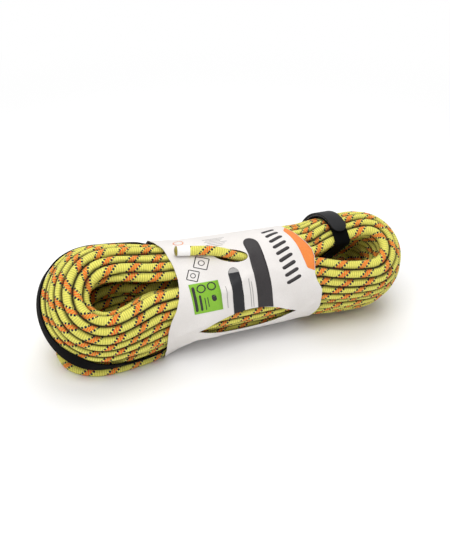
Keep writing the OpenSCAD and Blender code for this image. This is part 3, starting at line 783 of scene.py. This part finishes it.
def add_card():
    """One strip of card, wrapped round the hank and glued where it overlaps, with the window and the tail's hole."""
    w = np.arange(SEAM_AT, SEAM_AT + ROUND + SEAM_OVER, CARD_STEP)[:, None]
    over = smooth((w - SEAM_AT - ROUND + SEAM_RISE[0]) / SEAM_RISE[1]) * (CARD_T + SEAM_GAP)
    left, right = card_edge(LEFT_EDGE, w), card_edge(RIGHT_EDGE, w)
    piece = joined("sleeve_card", [slab(left + (right - left) * np.linspace(0, 1, CARD_COLS), w, over, CARD_T)])
    cuts = [cutter(lens_outline(WINDOW_LEN, WINDOW_H), WINDOW_X, WINDOW_AT, WINDOW_TURN),
            cutter(oval_outline(HOLE_LEN, HOLE_W), HOLE_X, HOLE_AT, HOLE_TURN)]
    for cut in cuts:
        hole = piece.modifiers.new("cut", "BOOLEAN")
        hole.operation, hole.solver, hole.object = "DIFFERENCE", "EXACT", cut
    applied(piece)
    for cut in cuts:
        bpy.data.objects.remove(cut)
    piece.data.set_sharp_from_angle(angle=math.radians(40))
    return piece


finish_piece(add_card(), "sleeve", CARD, ["sleeve_card"])


def area(sides, top, foot, rows=26, lift=INK_LIFT, thick=INK_T, head=0.0):
    """A patch of print or paper on the card. A side is its place along at the top and its drift, or a function of the
    share of the way down; the foot is in degrees or a function of the place along; head is the top's round share."""
    share = eased_steps(rows)
    left, right = (side(share) if callable(side) else side[0] + side[1] * share for side in sides)
    half = (right - left) / 2 * (rounded(share / head, 0.02) if head else 1)
    x = ((left + right) / 2)[:, None] + half[:, None] * np.linspace(-1, 1, 7)
    low = foot(x) if callable(foot) else foot
    return slab(x, top + (low - top) * share[:, None], lift, thick)


def stroke(points, width, lift=INK_LIFT, thick=INK_T):
    """A printed line on the card through points (along, degrees), with rounded ends."""
    line = np.array(points, float) * (1, DEGREE)
    along = run_length(line)
    at = along[-1] * eased_steps(max(4, int(along[-1] / 1.6)) + 1)
    line = points_at(at, along, line)
    ahead = unit(np.gradient(line, axis=0))
    half = width / 2 * rounded(np.minimum(at, along[-1] - at) / (width / 2), 0.05)
    across = np.stack([-ahead[:, 1], ahead[:, 0]], 1) * half[:, None]
    x, w = np.moveaxis(np.stack([line - across, line + across], 1) / (1, DEGREE), -1, 0)
    return slab(x, w, lift, thick)


def outlined(x, w, corners, width, lift=INK_LIFT):
    """Strokes round a closed outline about a place on the card."""
    loop = closed_ring(corners) / (1, DEGREE) + (x, w)
    return [stroke(pair, width, lift) for pair in zip(loop[:-1], loop[1:])]


# The window's upper edge is turned a little on the card, and the print stops short of it
EDGE_DRIFT, EDGE_MARGIN = 2.2, 0.6


def window_top(x):
    """Degrees round the card of the window's upper edge, a little above it."""
    t = np.clip((x - WINDOW_X) / (WINDOW_LEN / 2), -1, 1)
    return WINDOW_AT - (1 - t * t) * WINDOW_H / 2 - t * EDGE_DRIFT - EDGE_MARGIN


def ring(radius):
    return oval_outline(2 * radius, 2 * radius, 16)


# Places of the print on the card, along it and in degrees round it.
# The long dark band: its sides and where it starts
BAND_SIDES, BAND_TOP = ((8.4, 2.4), (24.6, 3.0)), 53.0
# Outlined squares with rings: place and half width, and how they are turned
SQUARES, SQUARE_TURN = ((-41.2, 80.0, 7.0), (-52.9, 93.5, 5.6)), 24
# A column of slanting marks, like the lay of a rope: the first one's place, the pitch, the drift and half a mark
MARKS, MARK_X, MARK_AT, MARK_PITCH, MARK_DRIFT, MARK_HALF, MARK_W = 9, 42, 44, 9.4, 0.13, (8, -3.6), 4.2
# The coloured panel at the right edge: its top and foot, its left side, and the margin at the cut edge
PANEL_TOP, PANEL_FOOT, PANEL_MARGIN = 40.6, 112.6, 0.5
PANEL_LEFT = ((40.6, 48.4, 75.5, 108, 112.6), (62.2, 58.2, 63.8, 68.6, 75.4))
EMBLEM = (-55.6, 41.5, 5.2)
# Thin rules: a block of six lines, and three that run down beside the label
RULES, RULE_LEFT, RULE_RIGHT, RULE_AT, RULE_PITCH = 6, (-30, -27.4), (-6, -9, -12), 42, 3.2
LONG_RULES, LONG_RULE_DRIFT = ((-22.5, 112, 139), (3.0, 108, 144), (5.4, 112, 144)), 0.8


def add_print():
    """Plain generic print: a long dark band and a panel at the edge, outlined squares, rules and slanting marks."""
    black = [area(BAND_SIDES, BAND_TOP, window_top, rows=40, head=0.13)]
    for x, w, half in SQUARES:
        corners = half * np.array([(-1, -1), (1, -1), (1, 1), (-1, 1)])
        black += outlined(x, w, turned_by(corners, SQUARE_TURN), 1.0)
        black += outlined(x, w, ring(half * 0.45), 1.1)
    for down in MARK_PITCH * np.arange(MARKS):
        middle = np.array([MARK_X + MARK_DRIFT * down, MARK_AT + down])
        black.append(stroke([middle - MARK_HALF, middle + MARK_HALF], MARK_W))
    finish_piece(joined("printed_marks", black), "sleeve", INK_BLACK)

    def panel_at(share):
        return PANEL_TOP + (PANEL_FOOT - PANEL_TOP) * share

    panel = area((lambda s: np.interp(panel_at(s), *PANEL_LEFT),
                  lambda s: card_edge(RIGHT_EDGE, panel_at(s)) - PANEL_MARGIN), PANEL_TOP, PANEL_FOOT, rows=40)
    emblem = outlined(*EMBLEM[:2], ring(EMBLEM[2]), 1.1)
    finish_piece(joined("printed_edge_panel", [panel] + emblem), "sleeve", INK_ORANGE)
    grey = []
    for k in range(RULES):
        w = RULE_AT + RULE_PITCH * k
        grey.append(stroke([(RULE_LEFT[k % 2], w), (RULE_RIGHT[k % 3], w)], 0.8))
    grey += [stroke([(x, top), (x + LONG_RULE_DRIFT, foot)], 0.7) for x, top, foot in LONG_RULES]
    finish_piece(joined("printed_rules", grey), "sleeve", INK_GREY)


add_print()

# Paper labels on the card, and the ink on them
LABEL_LIFT, LABEL_T, LABEL_INK_LIFT, LABEL_INK_T = CARD_T + 0.08, 0.16, CARD_T + 0.27, 0.05
DARK_SIDES, DARK_TOP = ((-16.9, 1.2), (-5.1, 1.2)), 92
CAP_SIDES, CAP_TOP, CAP_FOOT = ((-16.4, 0.2), (-5.4, 0.2)), 92.6, 98.0
GREEN_SIDES, GREEN_TOP, GREEN_FOOT = ((-60, 2.6), (-29, 1.9)), 103, 139
# The green label's bars (from, to, width) and rings (place, radius, width)
GREEN_BARS = (((-56.4, 106.5), (-54.4, 136), 3.0), ((-50.4, 117), (-49.2, 136), 2.4),
              ((-45.6, 121), (-44.6, 136), 0.9), ((-42.6, 121), (-41.6, 133), 0.9), ((-36.4, 119), (-35, 127), 5.0))
GREEN_RINGS, GREEN_RING_R, GREEN_RING_W = ((-48, 110), (-37, 109)), 4.2, 1.8


def add_labels():
    """Two paper labels under the front: a dark one with a rounded head and a green one with plain bars on it."""
    dark = area(DARK_SIDES, DARK_TOP, window_top, lift=LABEL_LIFT, thick=LABEL_T, head=0.13)
    finish_piece(joined("length_label", [dark]), "sleeve", PAPER_DARK, ["length_label"])
    cap = area(CAP_SIDES, CAP_TOP, CAP_FOOT, rows=12, lift=LABEL_INK_LIFT, thick=LABEL_INK_T, head=0.9)
    finish_piece(joined("length_label_cap", [cap]), "sleeve", INK_GREY)
    green = area(GREEN_SIDES, GREEN_TOP, GREEN_FOOT, lift=LABEL_LIFT, thick=LABEL_T)
    finish_piece(joined("info_label", [green]), "sleeve", PAPER_GREEN, ["info_label"])
    marks = [stroke([start, end], width, LABEL_INK_LIFT, LABEL_INK_T) for start, end, width in GREEN_BARS]
    for x, w in GREEN_RINGS:
        marks += outlined(x, w, ring(GREEN_RING_R), GREEN_RING_W, LABEL_INK_LIFT)
    finish_piece(joined("info_label_marks", marks), "sleeve", INK_BLACK)


add_labels()


def tape_section(width, thick, edge):
    """A flat band's section, its edges rounded."""
    corner = [(math.cos(t) * edge, math.sin(t) * edge) for t in np.linspace(0, math.pi / 2, 4)]
    w, h = width / 2 - edge, thick / 2 - edge
    points = [(w + c, h + s) for c, s in corner] + [(-w - s, h + c) for c, s in corner]
    return points + [(-w - c, -h - s) for c, s in corner] + [(w + s, -h - c) for c, s in corner]


# The strap round the upper run, through the right eye, as in the part's source
STRAP_IN = ROPE_D / 2 + STRAP_CLEAR
STRAP_SIZE, STRAP_EYE = (run_size(STRAP_X + half, LEFT_SIZE, RIGHT_SIZE) for half in (STRAP_W / 2, -STRAP_W / 2))
LOOP_OUT = STRAP_IN + STRAP_T + PILE_T
HOOK_IN = LOOP_OUT + STRAP_CLEAR
TAB_IN = HOOK_IN + PILE_T
TAB_ROOT, TAB_TIP, PILE_FROM, PILE_TO = -30.0, 82.5, -7.5, 67.5
EYE_WALL = STRAP_EYE[0] + (STRAP_EYE[1] - STRAP_EYE[0]) * math.cos(math.radians(SECTION_END)) - STRAP_IN
# The tab's sewn end: its reach behind the root, and where it starts to rise to the tab and over how many degrees
SEWN_REACH, SEWN_RISE, SEWN_GAP = 26, (12, 11), 0.1
# Two places on the tab, in degrees past its root, handed on as its fold
FOLD_FROM, FOLD_TO = 0.5, 10
TAPE_EDGE, PILE_EDGE, PILE_MARGIN = 0.5, 0.2, 2


def strap_points(angles, grow):
    """Points of the strap's curve over the upper run, across and deep."""
    t = np.radians(angles)
    return np.stack([STRAP_SIZE[0] + (STRAP_SIZE[1] - STRAP_SIZE[0] + grow) * np.cos(t),
                     (STRAP_SIZE[2] + grow) * np.sin(t)], 1)


def at_strap(points):
    return np.concatenate([np.full((len(points), 1), STRAP_X), points], 1)


def strap_line(points, closed=False):
    """A line of the strap in the model's frame, with its way across and its outward way at each point."""
    ahead = np.roll(points, -1, 0) - np.roll(points, 1, 0) if closed else np.gradient(points, axis=0)
    out = unit(np.stack([-ahead[:, 1], ahead[:, 0]], 1))
    if (out * (points - points.mean(0))).sum() < 0:
        out = -out
    base = place(at_strap(points))
    across = unit(place(at_strap(points) + (1, 0, 0)) - base)
    return base, across, place(at_strap(points + out)) - base


def even_loop(points, count, rounds):
    """A closed outline with evenly spaced points, its corners eased."""
    along = run_length(closed_ring(points))
    loop = points_at(np.linspace(0, along[-1], count + 1)[:-1], along, closed_ring(points))
    for _ in range(rounds):
        loop = (np.roll(loop, 1, 0) + 2 * loop + np.roll(loop, -1, 0)) / 4
    return loop


def add_strap():
    grow = STRAP_IN + STRAP_T / 2
    wall, depth = EYE_WALL - STRAP_T / 2, STRAP_SIZE[2] + grow
    shape = np.concatenate([strap_points(np.linspace(90, -90, 61), grow), [(wall, -depth), (wall, depth)]])
    tape = tape_section(STRAP_W, STRAP_T, TAPE_EDGE)
    band = sweep("strap_band", *strap_line(even_loop(shape, 150, 6), True), tape, closed=True)
    finish_piece(band, "hank", TAPE, ["strap_band"])
    # The tab's own end, sewn down flat on the band behind its hinge
    angles = np.linspace(TAB_ROOT - SEWN_REACH, TAB_ROOT - 1, 16)
    rise = (TAB_IN - STRAP_IN - STRAP_T) * smooth((angles - TAB_ROOT + SEWN_RISE[0]) / SEWN_RISE[1])
    sewn = strap_points(angles, STRAP_IN + STRAP_T * 1.5 + SEWN_GAP + rise)
    finish_piece(sweep("strap_sewn_end", *strap_line(sewn), tape), "hank", TAPE)
    # The tab, with its points closer together round the tip
    points = strap_points(np.linspace(TAB_ROOT, TAB_TIP, 60), TAB_IN + STRAP_T / 2)
    along, tip_r = run_length(points), STRAP_W / 2
    round_tip = tip_r * (1 - np.sin(np.linspace(0, math.pi / 2, 14)))
    left = np.concatenate([np.linspace(along[-1], tip_r, 44)[:-1], round_tip])
    scale = np.stack([rounded(left / tip_r, 0.0002), np.where(left < 0.4, 0.5, 1.0)], 1)
    tab = sweep("strap_tab", *strap_line(points_at(along[-1] - left, along, points)), tape, scale=scale)
    root = place(at_strap(strap_points([TAB_ROOT + FOLD_FROM, TAB_ROOT + FOLD_TO], TAB_IN))) * MM
    finish_piece(tab, "tab", COATED_TAB, ["strap_tab"], fold=("hank", "tab", *root.tolist()))
    for name, body, low, high, material in (("strap_loops", "hank", STRAP_IN + STRAP_T, LOOP_OUT, LOOP_PILE),
                                            ("strap_hooks", "tab", HOOK_IN, TAB_IN, HOOK_PILE)):
        patch = strap_points(np.linspace(PILE_FROM, PILE_TO, 40), (low + high) / 2)
        pile = sweep(name, *strap_line(patch), tape_section(STRAP_W - PILE_MARGIN, high - low, PILE_EDGE))
        finish_piece(pile, body, material, [name])


add_strap()


# Stitches: their spacing, length and thickness, and the rows: how many, degrees apart, half length and height
STITCH_SPACING, STITCH_LENGTH, STITCH_THREAD = 1.6, 1.35, 0.65
TACK_ROWS, TACK_PITCH, TACK_HALF, TACK_OUT = 3, 7.5, 6.5, STRAP_IN + 2 * STRAP_T + 0.15


def stitch_tree():
    """Geometry Nodes: small rounded stitches along each line of a mesh, a spacing apart, lying along it. Gives the
    tree and the identifiers of its inputs."""
    tree = bpy.data.node_groups.new("stitches", "GeometryNodeTree")
    sockets = {}
    for name, kind, way in (("Seams", "Geometry", "INPUT"), ("Spacing", "Float", "INPUT"),
                            ("Stitch length", "Float", "INPUT"), ("Thread", "Float", "INPUT"),
                            ("Material", "Material", "INPUT"), ("Stitches", "Geometry", "OUTPUT")):
        sockets[name] = tree.interface.new_socket(name, in_out=way, socket_type="NodeSocket" + kind).identifier
    given = {socket.name: socket for socket in tree.nodes.new("NodeGroupInput").outputs}
    lines = add(tree, "GeometryNodeMeshToCurve", [given["Seams"]])
    points = add(tree, "GeometryNodeResampleCurve", {"Curve": lines, "Length": given["Spacing"]}, mode="LENGTH")
    bead = add(tree, "GeometryNodeMeshIcoSphere", {"Radius": 0.5, "Subdivisions": 2})
    turn = add(tree, "FunctionNodeAlignRotationToVector", {"Vector": add(tree, "GeometryNodeInputTangent")}, axis="X")
    size = add(tree, "ShaderNodeCombineXYZ", [given["Stitch length"], given["Thread"], given["Thread"]])
    laid = add(tree, "GeometryNodeInstanceOnPoints", {"Points": points, "Instance": bead, "Rotation": turn,
                                                      "Scale": size})
    soft = add(tree, "GeometryNodeSetShadeSmooth", [add(tree, "GeometryNodeRealizeInstances", [laid])])
    done = add(tree, "GeometryNodeSetMaterial", {"Geometry": soft, "Material": given["Material"]})
    add(tree, "NodeGroupOutput", [done])
    return tree, sockets


def add_stitches(name, seams):
    """Stitches along seams, which are rows of points in millimetres, as one plain mesh."""
    at = np.arange(seams[..., 0].size).reshape(seams.shape[:2])
    mesh = bpy.data.meshes.new(name)
    mesh.from_pydata((seams.reshape(-1, 3) * MM).tolist(),
                     np.stack([at[:, :-1], at[:, 1:]], -1).reshape(-1, 2).tolist(), [])
    piece = add_object(name, mesh)
    sewing = piece.modifiers.new("stitches", "NODES")
    sewing.node_group, inputs = stitch_tree()
    for key, value in (("Spacing", STITCH_SPACING * MM), ("Stitch length", STITCH_LENGTH * MM),
                       ("Thread", STITCH_THREAD * MM), ("Material", THREAD)):
        sewing[inputs[key]] = value
    return applied(piece)


def bar_tack():
    """Rows across the strap behind the tab's hinge."""
    seams = []
    for row in range(TACK_ROWS):
        angle = TAB_ROOT - TACK_PITCH * (row + 1.5)
        base, along, _ = strap_line(strap_points([angle - 1, angle, angle + 1], TACK_OUT))
        seams.append(base[1] + along[1] * np.linspace(-TACK_HALF, TACK_HALF, 14)[:, None])
    return np.array(seams)


finish_piece(add_stitches("strap_stitching", bar_tack()), "hank", THREAD, ["strap_stitching"])

# Where round the left turn, from its bottom, the webbing leans over the front strands, how far it leans and shifts
# there, and how it leans with the strands elsewhere
LEAN_AT, LEAN_REACH, LEAN, LEAN_SHIFT, STRAND_SLOPE = 0.6, 0.42, math.radians(25), 7, math.radians(9)
# Where it lies along the winding axis on the lower run, the turn and the upper run: a start, and rises with where
# they begin and how long they are, in millimetres past the turn or radians round it
LIES = {-1: (WEBBING_LOW_A, (-5, 0, 24)),
        0: (WEBBING_LOW_A, (WEBBING_A - WEBBING_LOW_A, 0, math.pi / 2), (-16, 2.1, 1.04)),
        1: (WEBBING_A - 16, (-3, 0, 15), (8, 30, 40))}
# Where it ends under the card, and where it starts to be pressed down there and over what length
WEBBING_END, PRESS_FROM, PRESS_OVER, PRESSED_TO = -66, -92, 10, -0.4
# Strands that count as under it: within so far along it, beside its edges and above the winding's outline
UNDER_ALONG, UNDER_BESIDE, UNDER_OUT, DEEPEST = 8, 2, 3, -12
WEBBING_EDGE, WEBBING_CLEAR = 0.6, 0.1


def add_webbing():
    """Flat webbing round the left turn, resting on the strands that stand out most, its ends under the card."""
    runs = np.linspace(WEBBING_END, LEFT_X, 20)[:-1]
    spots = [(x, -1) for x in runs] + [(t, 0) for t in np.linspace(0, math.pi, 49)] + [(x, 1) for x in runs[::-1]]
    strands = unplace(rope_line)
    strand_out = np.hypot(np.minimum(strands[:, 0] - LEFT_X, 0), strands[:, 1])
    line, out, across, tops, pressed = [], [], [], [], []
    for value, side in spots:
        if side:
            past, centre, way, size = value - LEFT_X, value, (0, side), run_size(value, LEFT_SIZE, RIGHT_SIZE)
            turned = -past / LEFT_SIZE[1] if side < 0 else math.pi
        else:
            past, centre, way, size = value, LEFT_X, (-math.sin(value), -math.cos(value)), LEFT_SIZE
            turned = value
        a = LIES[side][0] + sum(rise * smooth((past - start) / over) for rise, start, over in LIES[side][1:])
        # It leans with the strands, and low on the left it leans over the front ones
        front = hump(turned - LEAN_AT, LEAN_REACH)
        lean = LEAN * front + STRAND_SLOPE * a / WEBBING_A * (1 - front)
        c, s = math.cos(lean), math.sin(lean)
        a += LEAN_SHIFT * front
        flat = strands[:, :2] - (centre, 0)
        up, deep = flat @ way - size[1], strands[:, 2] - a
        close = (np.abs(flat @ (-way[1], way[0])) < UNDER_ALONG) & (strand_out < size[1] + UNDER_OUT)
        close &= np.abs(deep * c - up * s) < WEBBING_W / 2 + UNDER_BESIDE
        tops.append((up * c + deep * s)[close].max(initial=DEEPEST))
        pressed.append(smooth((value - PRESS_FROM) / PRESS_OVER) if side else 0.0)
        line.append((centre + way[0] * size[1], way[1] * size[1], a))
        out.append((way[0] * c, way[1] * c, s))
        across.append((-way[0] * s, -way[1] * s, c))
    tops = np.array([max(tops[max(0, k - 2):k + 3]) for k in range(len(spots))])
    for _ in range(6):
        tops[1:-1] = (tops[:-2] + 2 * tops[1:-1] + tops[2:]) / 4
    # Under the card it is pressed flat on the waist
    tops += (np.minimum(tops, PRESSED_TO) - tops) * np.array(pressed)
    line, out, across = (np.array(q, float) for q in (line, out, across))
    line += out * (tops + ROPE_D / 2 + WEBBING_T / 2 + WEBBING_CLEAR)[:, None]
    base = place(line)
    band = sweep("carry_webbing", base, place(line + across) - base, place(line + out) - base,
                 tape_section(WEBBING_W, WEBBING_T, WEBBING_EDGE))
    finish_piece(band, "hank", WEBBING, ["carry_webbing"])


add_webbing()


def seen_directly(tree):
    """1 where the camera looks straight at a surface, or sees it in gloss or through glass; 0 for other light."""
    rays = [add(tree, "ShaderNodeLightPath", out=f"Is {name} Ray") for name in ("Camera", "Glossy", "Transmission")]
    return add(tree, MATH, [add(tree, MATH, rays[:2], **PLUS), rays[2]], use_clamp=True, **PLUS)


def paper_floor():
    """White background paper: matt and even, lit near the hank and plain white further off."""
    material, t = new_material("white_background_paper")
    at = add(t, COORDS, out="Object")
    fibre = add(t, NOISE, {"Vector": at, "Scale": 1 / (FIBRE_MM * MM), "Detail": 2})
    shade = add(t, MIX, {"Factor": fibre, 6: "#F6F6F6", 7: "#F9F9F9"}, **TINTS)
    lit = add(t, SURFACE, {"Base Color": shade, "Roughness": 0.9, "Specular IOR Level": 0.1})
    plain = add(t, "ShaderNodeEmission", {"Strength": 1})
    off = add(t, "ShaderNodeVectorMath", [at], out="Value", operation="LENGTH")
    far = add(t, "ShaderNodeMapRange", {"Value": off, "From Min": 0.4, "From Max": 1},
              interpolation_type="SMOOTHSTEP")
    share = add(t, MATH, [far, seen_directly(t)], **TIMES)
    add(t, OUTPUT, {"Surface": add(t, "ShaderNodeMixShader", [share, lit, plain])})
    return material


# The floor's half width, the world's strength for light that isn't seen directly, and the lamps in metres and watts:
# place, size and power, all aimed at the hank
FLOOR_HALF, WORLD_LIGHT, LAMP_AIM = 4000, 0.5, Vector((0, 0, 0.05))
LAMPS = (("key", (-0.5, -0.7, 1.5), 1.0, 16), ("top", (0.3, 0.5, 1.6), 1.4, 12))


def add_stage():
    """A pale floor that runs off into white, a bright plain world and soft lamps from above."""
    corners = [(x * FLOOR_HALF, y * FLOOR_HALF, 0) for x, y in ((-1, -1), (1, -1), (1, 1), (-1, 1))]
    floor = add_mesh("floor", corners, [(0, 1, 2, 3)])
    floor.data.materials.append(paper_floor())
    world = bpy.data.worlds.new("studio")
    bpy.context.scene.world = world
    world.use_nodes = True
    tree = world.node_tree
    tree.nodes.clear()
    level = add(tree, MATH, [seen_directly(tree), 1 - WORLD_LIGHT, WORLD_LIGHT], **SCALED)
    light = add(tree, "ShaderNodeBackground", {"Color": (1, 1, 1, 1), "Strength": level})
    add(tree, "ShaderNodeOutputWorld", {"Surface": light})
    for name, spot, size, power in LAMPS:
        data = bpy.data.lights.new(name, "AREA")
        data.size, data.energy = size, power
        lamp = add_object(name, data)
        lamp.location = spot
        lamp.rotation_euler = (LAMP_AIM - Vector(spot)).to_track_quat("-Z", "Y").to_euler()
    bpy.context.scene.view_settings.view_transform = "Standard"


add_stage()
